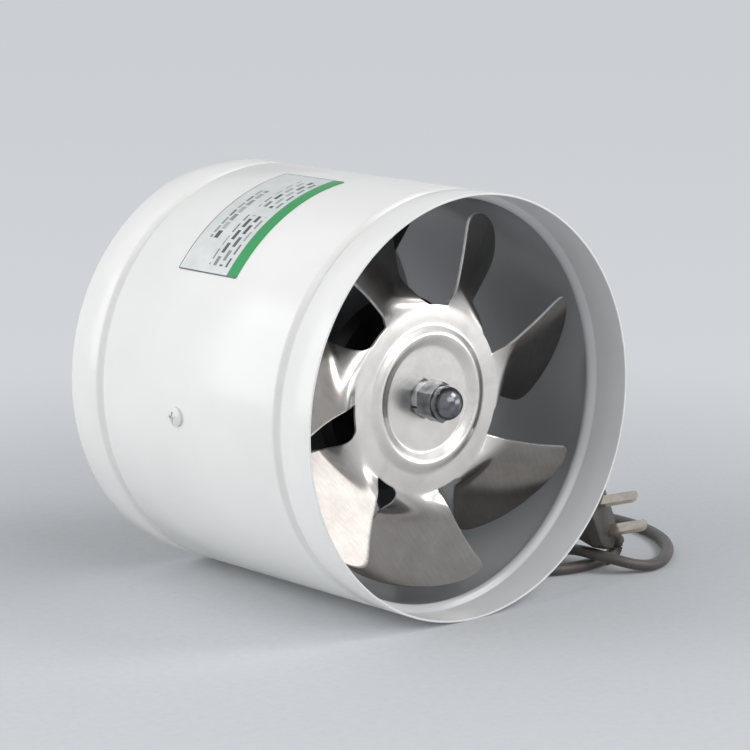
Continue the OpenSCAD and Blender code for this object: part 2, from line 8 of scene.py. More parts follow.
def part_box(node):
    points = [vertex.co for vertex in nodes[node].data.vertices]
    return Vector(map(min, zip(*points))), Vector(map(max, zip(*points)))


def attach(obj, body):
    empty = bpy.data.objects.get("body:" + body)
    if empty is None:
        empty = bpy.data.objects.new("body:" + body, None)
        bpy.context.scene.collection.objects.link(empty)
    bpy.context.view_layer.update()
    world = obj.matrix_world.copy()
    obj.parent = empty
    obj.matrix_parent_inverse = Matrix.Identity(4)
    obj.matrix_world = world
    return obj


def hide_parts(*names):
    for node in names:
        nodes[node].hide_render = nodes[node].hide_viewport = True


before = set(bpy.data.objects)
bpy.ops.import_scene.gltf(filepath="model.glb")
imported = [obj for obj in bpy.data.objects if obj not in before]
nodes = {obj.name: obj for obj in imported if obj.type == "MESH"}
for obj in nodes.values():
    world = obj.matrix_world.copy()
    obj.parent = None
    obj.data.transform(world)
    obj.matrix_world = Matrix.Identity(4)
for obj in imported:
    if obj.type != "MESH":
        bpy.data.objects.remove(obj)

scene = bpy.context.scene
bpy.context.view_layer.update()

# The part's sizes are in millimetres, or in metres where they are written with MM.
# The camera, the lamps and the shaders' own inputs are in metres.
# The fan's own frame has its axis along Z, out of the front.
MM = 0.001
CASING_R = 75
AXIS_HEIGHT = CASING_R * MM
AXIS = Matrix.Translation((0, 0, AXIS_HEIGHT)) @ Matrix.Rotation(math.pi / 2, 4, "X")
NEAR = 0.01 * MM  # how close a point has to lie to count as on a plane
SLACK = 0.1  # degrees, well under the step between two points of a ring
SEAM = 0.005 * MM  # gap that is closed where copies or cuts of a mesh meet


# Modelling helpers

def deselect():
    """Leaves edit mode, with nothing selected."""
    if bpy.context.mode != "OBJECT":
        bpy.ops.object.mode_set(mode="OBJECT")
    bpy.ops.object.select_all(action="DESELECT")


def begin(name, operator, **size):
    """Adds a primitive, names it and leaves it alone selected."""
    deselect()
    operator(**size)
    piece = bpy.context.object
    piece.name = piece.data.name = name
    return piece


def focus(piece):
    """Makes the piece the only one selected."""
    deselect()
    piece.select_set(True)
    bpy.context.view_layer.objects.active = piece


def edit(piece, mode="VERT"):
    """Opens the piece in edit mode with none of it selected."""
    focus(piece)
    bpy.ops.object.mode_set(mode="EDIT")
    bpy.ops.mesh.select_mode(type=mode)
    bpy.ops.mesh.select_all(action="DESELECT")
    return bmesh.from_edit_mesh(piece.data)


def pick(piece, test, kind="verts"):
    """Selects the vertices, edges or faces of the piece in edit mode whose middle passes the test."""
    mesh = bmesh.from_edit_mesh(piece.data)
    for family in (mesh.verts, mesh.edges, mesh.faces):
        for p in family:
            p.select = False
    for p in getattr(mesh, kind):
        middle = p.co if kind == "verts" else sum((v.co for v in p.verts), Vector()) / len(p.verts)
        if test(middle):
            p.select_set(True)
    mesh.select_flush_mode()
    bmesh.update_edit_mesh(piece.data)


def close_up(distance=0.001 * MM):
    """Merges doubles and turns the faces outwards."""
    bpy.ops.mesh.select_all(action="SELECT")
    bpy.ops.mesh.remove_doubles(threshold=distance)
    bpy.ops.mesh.normals_make_consistent(inside=False)


def modify(piece, kind, **settings):
    """Adds a modifier with its settings and applies it."""
    focus(piece)
    modifier = piece.modifiers.new(kind.title(), kind)
    for key, value in settings.items():
        setattr(modifier, key, value)
    bpy.ops.object.modifier_apply(modifier=modifier.name)


def combine(piece, tool, operation):
    """Cuts, trims or joins the piece with a tool shape, which is then thrown away."""
    modify(piece, "BOOLEAN", operation=operation, object=tool, solver="EXACT")
    bpy.data.objects.remove(tool)


def place(piece, matrix=AXIS):
    """Puts a piece where it belongs and keeps its place in its mesh."""
    focus(piece)
    piece.matrix_world = matrix
    bpy.ops.object.transform_apply(location=True, rotation=True, scale=True)


def smooth(piece, degrees=35):
    """Shades the piece smooth, with edges sharper than the angle left crisp."""
    focus(piece)
    bpy.ops.object.shade_smooth_by_angle(angle=math.radians(degrees))


def join(first, *others):
    """Makes one piece of several."""
    deselect()
    for piece in (first, *others):
        piece.select_set(True)
    bpy.context.view_layer.objects.active = first
    bpy.ops.object.join()
    return first


def finish_piece(piece, body, slot, material, *replaced):
    """Gives the piece its material, the body it rides on and the nodes that it stands for; the slot is not
    used.
    """
    piece.data.materials.clear()
    piece.data.materials.append(material)
    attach(piece, body)
    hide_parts(*replaced)


# Material helpers

def linear(code):
    """sRGB hex to the linear colour that the shader takes."""
    parts = [int(code[i:i + 2], 16) / 255 for i in (1, 3, 5)]
    return [c / 12.92 if c <= 0.04045 else ((c + 0.055) / 1.055) ** 2.4 for c in parts] + [1.0]


def grey(v):
    """Plain factor as a colour."""
    return (v, v, v, 1.0)


def per(mm):
    """Texture scale whose features are about this many millimetres across."""
    return 1000.0 / mm


def add(tree, kind, inputs=None, stops=None, **settings):
    """Adds a node, sets it up, links or fills its inputs and gives a ramp its two stops."""
    node = tree.nodes.new("ShaderNode" + kind)
    for key, value in settings.items():
        setattr(node, key, value)
    for key, value in (inputs or {}).items():
        if isinstance(value, bpy.types.NodeSocket):
            tree.links.new(value, node.inputs[key])
        else:
            node.inputs[key].default_value = value
    if stops:
        for stop, (at, colour) in zip(node.color_ramp.elements, stops):
            stop.position = at
            stop.color = colour
    return node


def fresh(name):
    """New material, its empty tree and the point that is shaded, in the piece's own coordinates."""
    material = bpy.data.materials.new(name)
    material.use_nodes = True
    tree = material.node_tree
    tree.nodes.clear()
    return material, tree, add(tree, "TexCoord").outputs["Object"]


# Camera, at the photograph's place

CAMERA_AT = (-0.71239, -0.82348, 0.28563)
CAMERA_BACK = (-0.6490, -0.7373, 0.1877)
SENSOR_WIDTH = 36
FOCAL_PIXELS = 3071
PICTURE_PIXELS = 750

back = Vector(CAMERA_BACK).normalized()
right = Vector((0, 0, 1)).cross(back).normalized()
up = back.cross(right)
camera = bpy.data.objects.new("camera", bpy.data.cameras.new("camera"))
scene.collection.objects.link(camera)
camera.matrix_world = Matrix.Translation(CAMERA_AT) @ Matrix((right, up, back)).transposed().to_4x4()
camera.data.sensor_width = SENSOR_WIDTH
camera.data.lens = SENSOR_WIDTH * FOCAL_PIXELS / PICTURE_PIXELS
camera.data.clip_start = 0.05
camera.data.clip_end = 20
scene.camera = camera


# Materials

RIM_Y = 66.25 * MM  # past this, at either end, the coat lies on the cut rim, which gets a painted highlight
MOUTH_Y = -53.5 * MM  # from the front rim to here the inner wall has its lightest painted shade
DEEP_Y = -46 * MM  # and from here on, behind the front bead, its darkest painted shade
INWARD = -30 * MM  # a spoke times the normal is below this where the wall faces the axis


def powder_coat():
    """Gloss white powder coat on rolled steel: bright, with a fine orange peel that ripples its reflections.
    Inside the tube it is painted darker as painted shade: a little at the mouth, and grey and patchy deeper
    in.
    The rims have a whiter line, a painted highlight along the cut edge."""
    material, tree, point = fresh("white powder coat on steel")
    peel = add(tree, "TexNoise", {"Vector": point, "Scale": per(1.8), "Detail": 2.0})
    cloud = add(tree, "TexNoise", {"Vector": point, "Scale": per(45), "Detail": 3.0})
    fleck = add(tree, "TexNoise", {"Vector": point, "Scale": per(6), "Detail": 4.0})
    full = add(tree, "ValToRGB", {"Fac": cloud.outputs["Fac"]},
               [(0.3, linear("#f0f0ee")), (0.7, linear("#f6f6f4"))])
    gloss = add(tree, "MapRange", {"Value": cloud.outputs["Fac"], "To Min": 0.17, "To Max": 0.25})

    along = add(tree, "SeparateXYZ", {"Vector": point}).outputs["Y"]
    from_middle = add(tree, "Math", {0: along}, operation="ABSOLUTE")
    # Painted highlight: a whiter, flecked line along the cut rims
    rim = add(tree, "Math", {0: from_middle.outputs[0], 1: RIM_Y}, operation="GREATER_THAN")
    line = add(tree, "Math", {0: rim.outputs[0], 1: fleck.outputs["Fac"]}, operation="MULTIPLY")

    spoke = add(tree, "VectorMath", {0: point, 1: (1, 0, 1), 2: (0, 0, -AXIS_HEIGHT)},
                operation="MULTIPLY_ADD")
    normal = add(tree, "TexCoord").outputs["Normal"]
    outward = add(tree, "VectorMath", {0: spoke.outputs[0], 1: normal}, operation="DOT_PRODUCT")
    within = add(tree, "Math", {0: outward.outputs["Value"], 1: INWARD}, operation="LESS_THAN")

    # Painted shade: the inner wall darkens from the mouth to behind the front bead, with patches of random
    # tone
    shade_depth = add(tree, "MapRange", {"Value": along, "From Min": MOUTH_Y, "From Max": DEEP_Y},
               interpolation_type="SMOOTHSTEP")
    painted_shade = add(tree, "Mix", {"Factor": shade_depth.outputs["Result"], "A": linear("#e4e5e6"),
                              "B": linear("#a6a8ab")}, data_type="RGBA")
    patchy = add(tree, "ValToRGB", {"Fac": cloud.outputs["Fac"]}, [(0.3, grey(0.93)), (0.7, grey(1.0))])
    patchy_painted_shade = add(tree, "Mix", {"Factor": 1.0, "A": painted_shade.outputs["Result"], "B": patchy.outputs["Color"]},
               data_type="RGBA", blend_type="MULTIPLY")

    walls = add(tree, "Mix", {"Factor": within.outputs[0], "A": full.outputs["Color"],
                              "B": patchy_painted_shade.outputs["Result"]}, data_type="RGBA")
    colour = add(tree, "Mix", {"Factor": line.outputs[0], "A": walls.outputs["Result"],
                               "B": linear("#fbfbfa")}, data_type="RGBA")
    bump = add(tree, "Bump", {"Height": peel.outputs["Fac"], "Strength": 0.12, "Distance": 0.00006})
    shader = add(tree, "BsdfPrincipled", {"Base Color": colour.outputs["Result"], "IOR": 1.5,
                                          "Roughness": gloss.outputs["Result"],
                                          "Normal": bump.outputs["Normal"]})
    add(tree, "OutputMaterial", {"Surface": shader.outputs[0]})
    return material


ROLLED_AT = math.radians(-30)  # turn of the rolling lines about the fan axis
ROLLED_LINE = (0.45 * MM, 2 * MM, 30 * MM)  # wider than real lines, which are too fine to show
HUB_ENDS = 33 * MM  # distance from the axis where the satin and the painted lighter tone of the hub begin to fade
BLADE_BEGINS = 44 * MM  # and where they have given way to the blade's own finish and its painted darker tone


def stamped_stainless():
    """Cold-rolled stainless sheet, stamped: straight rolling lines across the whole blank, a satin hub with a
    bright tone painted on as painted light, smoother blades with a darker painted shade, and slight smudges
    and unevenness."""
    material, tree, point = fresh("stamped stainless steel")
    lines_at = add(tree, "Mapping", {"Vector": point, "Rotation": (0, ROLLED_AT, 0), "Scale": ROLLED_LINE},
                   vector_type="TEXTURE")
    lines = add(tree, "TexNoise", {"Vector": lines_at.outputs[0], "Scale": 1.0, "Detail": 3.0,
                                   "Roughness": 0.6})
    smudge = add(tree, "TexNoise", {"Vector": point, "Scale": per(14), "Detail": 5.0, "Roughness": 0.62,
                                    "Distortion": 0.6})
    press = add(tree, "TexNoise", {"Vector": point, "Scale": per(9), "Detail": 1.0})

    flat = add(tree, "VectorMath", {0: point, 1: (1, 0, 1)}, operation="MULTIPLY")
    from_axis = add(tree, "VectorMath", {0: flat.outputs[0], 1: (0, 0, AXIS_HEIGHT)}, operation="DISTANCE")
    zone = add(tree, "MapRange", {"Value": from_axis.outputs["Value"], "From Min": HUB_ENDS,
                                  "From Max": BLADE_BEGINS}, interpolation_type="SMOOTHSTEP")
    blade = zone.outputs["Result"]

    # Painted light and shade: the hub's tone is lighter and the blades' darker, though they are one sheet
    hub_painted_light = add(tree, "ValToRGB", {"Fac": smudge.outputs["Fac"]},
                   [(0.32, linear("#e4dfda")), (0.62, linear("#f3eee9"))])
    blade_painted_shade = add(tree, "ValToRGB", {"Fac": smudge.outputs["Fac"]},
                     [(0.32, linear("#9c9691")), (0.62, linear("#aba6a1"))])
    tint = add(tree, "Mix", {"Factor": blade, "A": hub_painted_light.outputs["Color"],
                             "B": blade_painted_shade.outputs["Color"]}, data_type="RGBA")
    streak = add(tree, "ValToRGB", {"Fac": lines.outputs["Fac"]}, [(0.32, grey(0.87)), (0.68, grey(1.0))])
    marked = add(tree, "MapRange", {"Value": blade, "To Min": 0.2, "To Max": 1.0})
    colour = add(tree, "Mix", {"Factor": marked.outputs["Result"], "A": tint.outputs["Result"],
                               "B": streak.outputs["Color"]}, data_type="RGBA", blend_type="MULTIPLY")

    polish = add(tree, "MapRange", {"Value": blade, "To Min": 0.22, "To Max": 0.19})
    matt = add(tree, "Math", {0: smudge.outputs["Fac"], 1: 0.06, 2: polish.outputs["Result"]},
               operation="MULTIPLY_ADD")
    dent = add(tree, "Bump", {"Height": press.outputs["Fac"], "Strength": 0.08, "Distance": 0.0003})
    groove = add(tree, "Bump", {"Height": lines.outputs["Fac"], "Strength": 0.12, "Distance": 0.00004,
                                "Normal": dent.outputs["Normal"]})
    shader = add(tree, "BsdfPrincipled", {"Base Color": colour.outputs["Result"], "Metallic": 1.0,
                                          "Roughness": matt.outputs[0], "Normal": groove.outputs["Normal"]})
    add(tree, "OutputMaterial", {"Surface": shader.outputs[0]})
    return material


def plated(name, light, dark, low, high, size, strength=0.1, metal=1.0):
    """Plated or bare metal: its tone, and its roughness from low to high, drift over patches of a given size.
    The pits that soften the shine are half a millimetre across, because real ones are too fine to show."""
    material, tree, point = fresh(name)
    drift = add(tree, "TexNoise", {"Vector": point, "Scale": per(size), "Detail": 4.0, "Roughness": 0.6})
    pits = add(tree, "TexNoise", {"Vector": point, "Scale": per(0.5), "Detail": 2.0})
    tint = add(tree, "ValToRGB", {"Fac": drift.outputs["Fac"]}, [(0.3, linear(dark)), (0.7, linear(light))])
    matt = add(tree, "MapRange", {"Value": drift.outputs["Fac"], "From Min": 0.3, "From Max": 0.7,
                                  "To Min": low, "To Max": high})
    bump = add(tree, "Bump", {"Height": pits.outputs["Fac"], "Strength": strength, "Distance": 0.00005})
    shader = add(tree, "BsdfPrincipled", {"Base Color": tint.outputs["Color"], "Metallic": metal,
                                          "Roughness": matt.outputs["Result"],
                                          "Normal": bump.outputs["Normal"]})
    add(tree, "OutputMaterial", {"Surface": shader.outputs[0]})
    return material


def moulded(name, light, dark, low, high, grain, strength, ior=1.5):
    """Moulded, painted or drawn non-metal: two close tones, and a grain of the given size that gives it its
    sheen, from low to high roughness."""
    material, tree, point = fresh(name)
    drift = add(tree, "TexNoise", {"Vector": point, "Scale": per(12), "Detail": 4.0})
    fine = add(tree, "TexNoise", {"Vector": point, "Scale": per(grain), "Detail": 2.0})
    tint = add(tree, "ValToRGB", {"Fac": drift.outputs["Fac"]}, [(0.3, linear(dark)), (0.7, linear(light))])
    matt = add(tree, "MapRange", {"Value": fine.outputs["Fac"], "From Min": 0.3, "From Max": 0.7,
                                  "To Min": low, "To Max": high})
    bump = add(tree, "Bump", {"Height": fine.outputs["Fac"], "Strength": strength, "Distance": 0.00008})
    shader = add(tree, "BsdfPrincipled", {"Base Color": tint.outputs["Color"], "IOR": ior,
                                          "Roughness": matt.outputs["Result"],
                                          "Normal": bump.outputs["Normal"]})
    add(tree, "OutputMaterial", {"Surface": shader.outputs[0]})
    return material


# Areas of the label, from and to along it and from and to across it, in millimetres from its middle
GREEN_BAND = (-29.5, 29.5, 10.6, 16)
WITHIN_FRAME = (-29.05, 29.05, -15.6, 20)
# Areas with rows of bars, each with the width, pitch and gap of its bars
BARS = [((-13, 15, -10.6, -6.2), (4.4, 4.4, 0.45)), ((-24, -3, -1.5, 8.5), (5.2, 3.3, 0.85)),
        ((2, 26, -1.5, 8.5), (6.1, 3.3, 0.85))]


def printed_foil():
    """Printed foil label: satin silver-white, a thin dark frame, a green band along the front edge and
    rows of plain grey bars."""
    material, tree, _ = fresh("printed foil label")
    at = add(tree, "UVMap", uv_map="label").outputs[0]
    split = add(tree, "SeparateXYZ", {"Vector": at})

    def inside(u0, u1, v0, v1):
        """1 inside a rectangle of the label."""
        sides = []
        for axis, low, high in (("X", u0, u1), ("Y", v0, v1)):
            side = add(tree, "Math", {0: split.outputs[axis], 1: (low + high) / 2, 2: (high - low) / 2},
                       operation="COMPARE")
            sides.append(side.outputs[0])
        return add(tree, "Math", {0: sides[0], 1: sides[1]}, operation="MULTIPLY").outputs[0]

    def bars(width, pitch, gap):
        """Rows of blocks that differ in darkness."""
        block = add(tree, "TexBrick", {"Vector": at, "Color1": grey(0.0), "Color2": grey(0.75),
                                       "Mortar": grey(1.0), "Scale": 1.0, "Mortar Size": gap,
                                       "Mortar Smooth": 0.1, "Bias": -0.2, "Brick Width": width,
                                       "Row Height": pitch})
        return add(tree, "Math", {0: 1.0, 1: block.outputs["Color"]}, operation="SUBTRACT").outputs[0]

    def ink_on(below, mask, ink):
        """The ink where the mask is 1, and what lies below it elsewhere."""
        layer = add(tree, "Mix", {"Factor": mask, "A": below, "B": linear(ink)}, data_type="RGBA")
        return layer.outputs["Result"]

    sheen = add(tree, "TexNoise", {"Vector": at, "Scale": 0.12, "Detail": 3.0})
    foil = add(tree, "ValToRGB", {"Fac": sheen.outputs["Fac"]},
               [(0.3, linear("#d3d8d8")), (0.7, linear("#e2e5e4"))])
    colour = foil.outputs["Color"]
    for area, sizes in BARS:
        mask = add(tree, "Math", {0: inside(*area), 1: bars(*sizes)}, operation="MULTIPLY")
        colour = ink_on(colour, mask.outputs[0], "#4a5053")
    colour = ink_on(colour, inside(*GREEN_BAND), "#2f9a57")
    outer_line = add(tree, "Math", {0: 1.0, 1: inside(*WITHIN_FRAME)}, operation="SUBTRACT")
    colour = ink_on(colour, outer_line.outputs[0], "#5d6664")
    shader = add(tree, "BsdfPrincipled", {"Base Color": colour, "Metallic": 0.15, "Roughness": 0.38,
                                          "IOR": 1.5})
    add(tree, "OutputMaterial", {"Surface": shader.outputs[0]})
    return material


coat = powder_coat()
label_foil = printed_foil()
stainless = stamped_stainless()
# sheared and left bare, and painted far brighter than the blade as a painted highlight, so it draws a bright
# line round each blade
edge_highlight = plated("bright cut edge of stainless sheet", "#f4f3f1", "#dddbd8", 0.3, 0.38, 2, metal=0.8)
# a clear dark mirror, which shows the facets and the dome by what they reflect
nickel = plated("nickel-plated steel", "#8e9194", "#5a5d60", 0.14, 0.24, 3.5)
# bluish grey with a satin shine
zinc = plated("zinc-plated steel", "#c3c7cb", "#9ea3a8", 0.3, 0.42, 5)
# warm, bright and nearly a mirror
bright_pin = plated("nickel-plated brass pins", "#d3cabe", "#b6ada1", 0.14, 0.24, 5)
# an even, clean shine
steel = plated("ground shaft steel", "#c6c8ca", "#acafb2", 0.16, 0.26, 6)
# dull dark grey with a rough cut face
lamination = plated("punched electrical steel", "#77797c", "#5f6164", 0.4, 0.55, 3, 0.3)
# pale grey and slightly rough, as it left the die
aluminium = plated("die-cast aluminium", "#bcbec0", "#a2a4a6", 0.35, 0.5, 4, 0.3)
# brown gold and grainy
bronze = plated("sintered bronze", "#a5864f", "#8a6c3b", 0.35, 0.5, 1.5, 0.3)
# red brown with the soft shine of varnish
copper = plated("enamelled copper wire", "#b8703a", "#8f5124", 0.3, 0.42, 2, 0.3)
# dark grey and half matt
dark_paint = moulded("dark grey stoved paint", "#47474a", "#3a3a3d", 0.4, 0.55, 0.9, 0.12)
# nearly black and half matt, so the motor stays in the shade of the impeller
black_paint = moulded("black stoved paint", "#101012", "#0a0a0b", 0.42, 0.58, 0.9, 0.12, 1.4)
# black and dull
rubber = moulded("black rubber", "#2a2a2c", "#1d1d1f", 0.5, 0.7, 0.6, 0.2)
# cream and waxy
nylon = moulded("moulded nylon", "#e8e2cf", "#d9d2bc", 0.4, 0.55, 1.0, 0.1)
# white, a little duller than the casing
white_screw = moulded("white painted screw", "#f2f2f0", "#e6e6e3", 0.3, 0.42, 0.8, 0.12)
# dark grey and waxy
tie_nylon = moulded("grey tie", "#454548", "#353538", 0.4, 0.55, 0.8, 0.1)
# warm grey with a soft line of light along the cord
flex = moulded("warm grey PVC flex", "#5c5552", "#4b4643", 0.38, 0.52, 0.8, 0.15, 1.53)
# a darker warm grey, with a grain that breaks up the shine
plug_pvc = moulded("warm grey moulded PVC", "#48433f", "#393532", 0.4, 0.56, 0.5, 0.25, 1.53)

FINISHES = {
    coat: ["duct_casing"],
    label_foil: ["rating_label"],
    white_screw: ["bracket_screws"],
    zinc: ["bracket_nuts", "motor_bolts", "motor_nuts", "rear_washer", "spring_washer", "bush_clips"],
    dark_paint: ["motor_bracket"],
    black_paint: ["motor_can", "motor_rear_cover"],
    lamination: ["stator_core", "rotor_core"],
    nylon: ["coil_bobbins", "thrust_washers"],
    copper: ["stator_coils"],
    bronze: ["front_bush", "rear_bush"],
    rubber: ["lead_gland", "casing_grommet"],
    flex: ["motor_lead", "cord_lead", "cord_coil", "cord_run"],
    steel: ["shaft", "collar_set_screw"],
    aluminium: ["rotor_end_rings", "drive_collar"],
    stainless: ["impeller"],
    nickel: ["cap_nut"],
    tie_nylon: ["cord_tie"],
    plug_pvc: ["plug_body"],
    bright_pin: ["plug_pins"],
}
for finish, names in FINISHES.items():
    for name in names:
        nodes[name].data.materials.clear()
        nodes[name].data.materials.append(finish)


# Casing: rolled sheet with two pressed beads

CASING_L = 133
CASING_SHEET = 0.8 * MM
CASING_EDGE = 0.22 * MM  # rounding of the cut rims
BEADS = (-49.5, 49.5)
BEAD_DEPTH = 2.4
BEAD_HALF = 2.6
BEAD_STEPS = 6  # rows of points from the middle of a bead to its edge

shell = begin("casing_shell", bpy.ops.mesh.primitive_cylinder_add, vertices=256, radius=CASING_R * MM,
              depth=CASING_L * MM, end_fill_type="NOTHING")
edit(shell)
for middle in BEADS:
    for k in range(-BEAD_STEPS, BEAD_STEPS + 1):
        bpy.ops.mesh.select_all(action="SELECT")
        row = (middle + BEAD_HALF * k / BEAD_STEPS) * MM
        bpy.ops.mesh.bisect(plane_co=(0, 0, row), plane_no=(0, 0, 1))
for middle in BEADS:
    for k in range(1 - BEAD_STEPS, BEAD_STEPS):
        row = (middle + BEAD_HALF * k / BEAD_STEPS) * MM
        pick(shell, lambda c: abs(c.z - row) < NEAR)
        share = 1 - BEAD_DEPTH / CASING_R * (1 + math.cos(math.pi * k / BEAD_STEPS)) / 2
        bpy.ops.transform.resize(value=(share, share, 1), center_override=(0, 0, 0))
close_up()
deselect()
modify(shell, "SOLIDIFY", thickness=CASING_SHEET, offset=-1)
modify(shell, "BEVEL", width=CASING_EDGE, segments=2, limit_method="ANGLE", angle_limit=math.radians(60))
place(shell)
smooth(shell, 50)
finish_piece(shell, "fan_body", "casing_paint", coat, "duct_casing")


# Label: a strip of a slightly larger cylinder with rounded corners and its own map in millimetres

LABEL_R = 75.155
LABEL_W = 32
LABEL_Z = -6
LABEL_MIDDLE = 120.5  # degrees round the casing
LABEL_HALF = 22.5  # degrees from there to either end
LABEL_CORNER = 0.9 * MM
LABEL_SHEET = 0.2 * MM


def round_label(c):
    """Degrees round the casing from the label's middle."""
    return (math.degrees(math.atan2(c.y, c.x)) - LABEL_MIDDLE + 180) % 360 - 180


label = begin("label_strip", bpy.ops.mesh.primitive_cylinder_add, vertices=720, radius=LABEL_R * MM,
              depth=LABEL_W * MM, end_fill_type="NOTHING")
edit(label)
pick(label, lambda c: abs(round_label(c)) > LABEL_HALF + SLACK)
bpy.ops.mesh.delete(type="VERT")
pick(label, lambda c: abs(abs(round_label(c)) - LABEL_HALF) < SLACK)
bpy.ops.mesh.bevel(offset=LABEL_CORNER, segments=3, affect="VERTICES")
close_up()
mesh = bmesh.from_edit_mesh(label.data)
for layer in list(mesh.loops.layers.uv):
    mesh.loops.layers.uv.remove(layer)
chart = mesh.loops.layers.uv.new("label")
for face in mesh.faces:
    for corner in face.loops:
        c = corner.vert.co
        corner[chart].uv = (math.radians(round_label(c)) * LABEL_R, c.z / MM)
bmesh.update_edit_mesh(label.data)
deselect()
modify(label, "SOLIDIFY", thickness=LABEL_SHEET, offset=0)
place(label, AXIS @ Matrix.Translation((0, 0, LABEL_Z * MM)))
smooth(label, 40)
finish_piece(label, "fan_body", "label", label_foil, "rating_label")


# Impeller: hub and blades stamped from one sheet

BLADES = 7
FIRST_BLADE = 55  # degrees round the fan axis
HALF_TURN = 180 / BLADES  # degrees from a blade's middle half-way to the next
HUB_R = 33.5
LAST_RING = HUB_R - 0.3  # inside the hub's last ring, outside the edges that lead to it
TIP_R = 68
ROOT = 18  # half of a blade's root, in degrees
PITCH = 31  # degrees
NECK = 9.5  # length over which a blade turns from the hub's plane to its full pitch
LEVEL_AT = 10  # degrees from the root's middle to where the pitched blade keeps the hub's level
CAMBER = 0.0028  # fall across a blade, by the square of the degrees, at the radius below
CAMBER_R = 63
DISC_Z = 42
HUB_T = 1  # thickness of the hub as a solid, whose middle the sheet follows
BLADE_SHEET = 0.9 * MM
BLADE_EDGE = 0.16 * MM  # rounding of the cut edges
# Front of the hub as radius and height: the flat disc, the raised ring and the flange
DISH = [(4.1, DISC_Z), (8, DISC_Z), (13, DISC_Z), (17.6, DISC_Z), (18.6, DISC_Z), (19.1, 42.08),
        (19.6, 42.28), (20.6, 42.78), (21.6, 43.26), (22.4, 43.56), (22.8, 43.64), (23.2, 43.64),
        (23.7, 43.54), (24.6, 43.16), (25.5, 42.74), (26.2, 42.46), (26.8, 42.34), (27.6, 42.31),
        (29.2, 42.26), (31, 42.16), (32.4, 42.06), (HUB_R, DISC_Z)]
# Degrees of a blade's rear and front edges, against the share of its length
REAR = [(0, -18), (0.03, -15), (0.07, -12.5), (0.16, -10.5), (0.28, -10.5), (0.42, -11.8), (0.6, -13),
        (0.77, -13.6), (0.86, -12.6), (0.92, -10), (0.96, -5.5), (0.99, 0), (1, 5)]
FRONT = [(0, 18), (0.13, 19.2), (0.28, 20.6), (0.6, 23.5), (0.77, 25.2), (0.86, 25.8), (0.92, 25.2),
         (0.96, 22.5), (0.99, 18.5), (1, 14)]
# Shares of a blade's length that have a row of points, closer at the neck and the rounded tip
STATIONS = [0.015, 0.035, 0.07, 0.115, 0.16, 0.22, 0.28, 0.35, 0.42, 0.5, 0.6, 0.69, 0.77, 0.82, 0.86,
            0.89, 0.92, 0.94, 0.96, 0.975, 0.99, 1]
SIDE = 7  # points from a blade's middle to its edge
GAP = 3  # and from there half-way to the next blade
ROUND = 2 * (SIDE + GAP) * BLADES  # points round the hub


def ease(x):
    """Goes from 0 to 1 with a level start and end."""
    return x * x * (3 - 2 * x)


def between(table, u):
    """Value of a table at u, in a straight line between its entries."""
    for (a, x), (b, y) in zip(table, table[1:]):
        if u <= b:
            return x + (y - x) * (u - a) / (b - a)
    return table[-1][1]


def hub_angle(k):
    """Degrees of the hub's point with this number from a blade's middle."""
    if abs(k) <= SIDE:
        return ROOT * k / SIDE
    return math.copysign(ROOT + (HALF_TURN - ROOT) * (abs(k) - SIDE) / GAP, k)


def blade_height(r, a):
    """Front of a blade at a radius and an angle from the middle of its root."""
    turned = ease(min(1, (r - HUB_R) / NECK))
    d = a - LEVEL_AT * turned
    rise = math.tan(math.radians(PITCH)) * r * math.radians(d)
    return DISC_Z + turned * (rise - CAMBER * d * d * r / CAMBER_R)


def mid_sheet(r, a, z):
    """Point half a hub thickness behind the front, from its radius, angle and height."""
    return Vector((r * math.cos(math.radians(a)), r * math.sin(math.radians(a)), z - HUB_T / 2)) * MM


def hub_row(r, z):
    """Gives each number its place on a ring of the hub."""
    return lambda k: mid_sheet(r, hub_angle(k), z)


def blade_row(u):
    """Gives each number its place across a blade, at a share of its length."""
    r = HUB_R + u * (TIP_R - HUB_R)
    rear, front = between(REAR, u), between(FRONT, u)

    def spot(k):
        a = rear + (front - rear) * (k + SIDE) / (2 * SIDE)
        return mid_sheet(r, a, blade_height(r, a))

    return spot


def settle(piece, row):
    """Puts the chosen points where the row has them, by their numbers."""
    mesh = bmesh.from_edit_mesh(piece.data)
    number = mesh.verts.layers.int["number"]
    for v in mesh.verts:
        if v.select:
            v.co = row(v[number])
    bmesh.update_edit_mesh(piece.data)


def draw_out(piece, row):
    """Extrudes the chosen edges to the next row."""
    bpy.ops.mesh.extrude_edges_move()
    settle(piece, row)


sheet = begin("impeller_sheet", bpy.ops.mesh.primitive_circle_add, vertices=ROUND, radius=DISH[0][0] * MM,
              fill_type="NOTHING")
mesh = edit(sheet, "EDGE")
number = mesh.verts.layers.int.new("number")
for v in mesh.verts:
    v[number] = round(math.atan2(v.co.y, v.co.x) / (2 * math.pi) * ROUND)
bmesh.update_edit_mesh(sheet.data)
pick(sheet, lambda c: abs(math.degrees(math.atan2(c.y, c.x))) > HALF_TURN + SLACK)
bpy.ops.mesh.delete(type="VERT")
bpy.ops.mesh.select_all(action="SELECT")
settle(sheet, hub_row(*DISH[0]))
for ring in DISH[1:]:
    draw_out(sheet, hub_row(*ring))
pick(sheet, lambda c: (math.hypot(c.x, c.y) > LAST_RING * MM
                       and abs(math.degrees(math.atan2(c.y, c.x))) < ROOT), "edges")
for u in STATIONS:
    draw_out(sheet, blade_row(u))
bpy.ops.mesh.select_all(action="SELECT")
bpy.ops.mesh.spin(steps=BLADES, dupli=True, angle=2 * math.pi, center=(0, 0, 0), axis=(0, 0, 1))
close_up(SEAM)
deselect()
modify(sheet, "SUBSURF", levels=1, render_levels=1)
sheet.data.materials.append(stainless)
sheet.data.materials.append(edge_highlight)
modify(sheet, "SOLIDIFY", thickness=BLADE_SHEET, offset=0, material_offset_rim=1)
